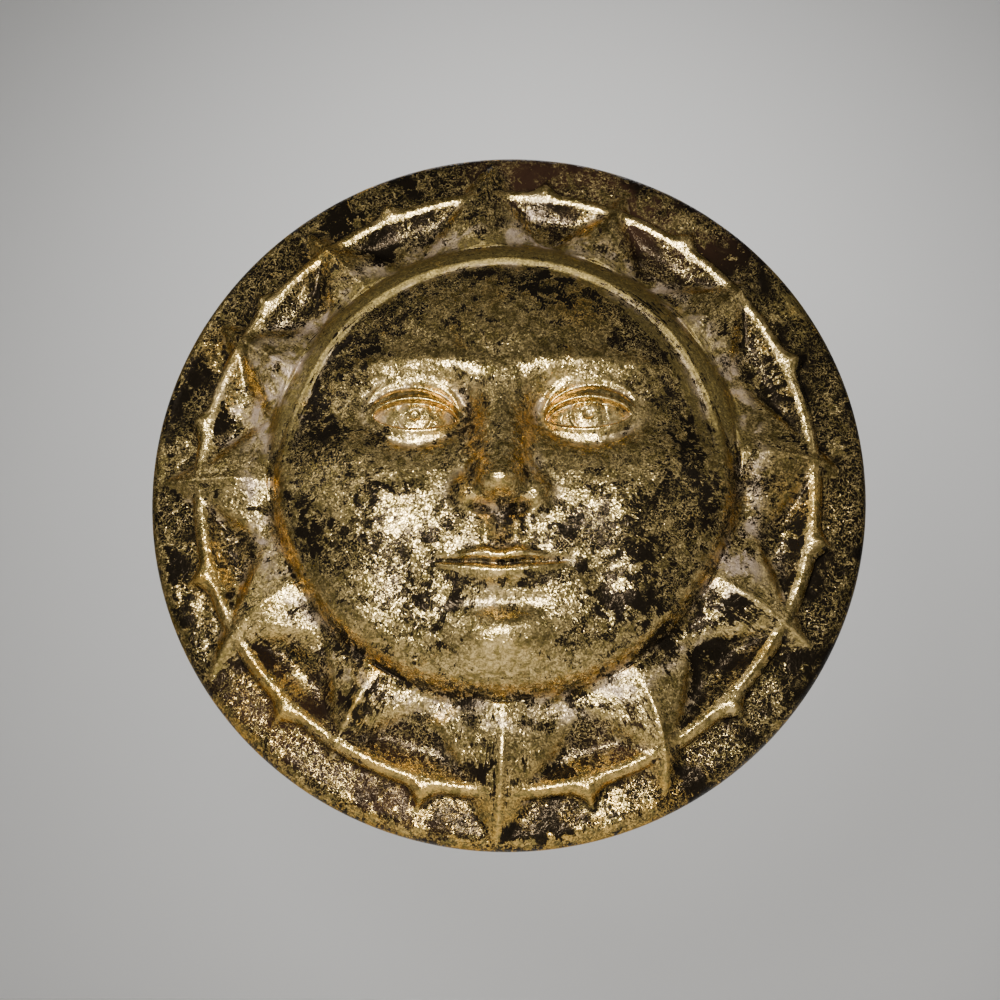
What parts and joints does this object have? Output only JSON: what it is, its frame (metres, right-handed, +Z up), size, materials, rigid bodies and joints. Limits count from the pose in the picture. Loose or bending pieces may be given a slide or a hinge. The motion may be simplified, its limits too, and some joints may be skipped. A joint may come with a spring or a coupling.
{
  "type": "decorative wall plaque",
  "caption": "Round wall plaque with a calm sun face in a ring of pointed rays, in worn gold leaf over a black ground.",
  "frame": {"origin": "centre of the flat back, where it meets the wall", "axes": "+Z up the wall, +X to the right as the viewer sees it, the face looks along -Y"},
  "size_m": [0.23, 0.0571, 0.2301],
  "materials": {
    "gilt": "broken gold metal leaf over a glossy near-black ground, on cast plaster"
  },
  "bodies": {
    "root": {"sun_plaque": "gilt"}
  },
  "joints": []
}
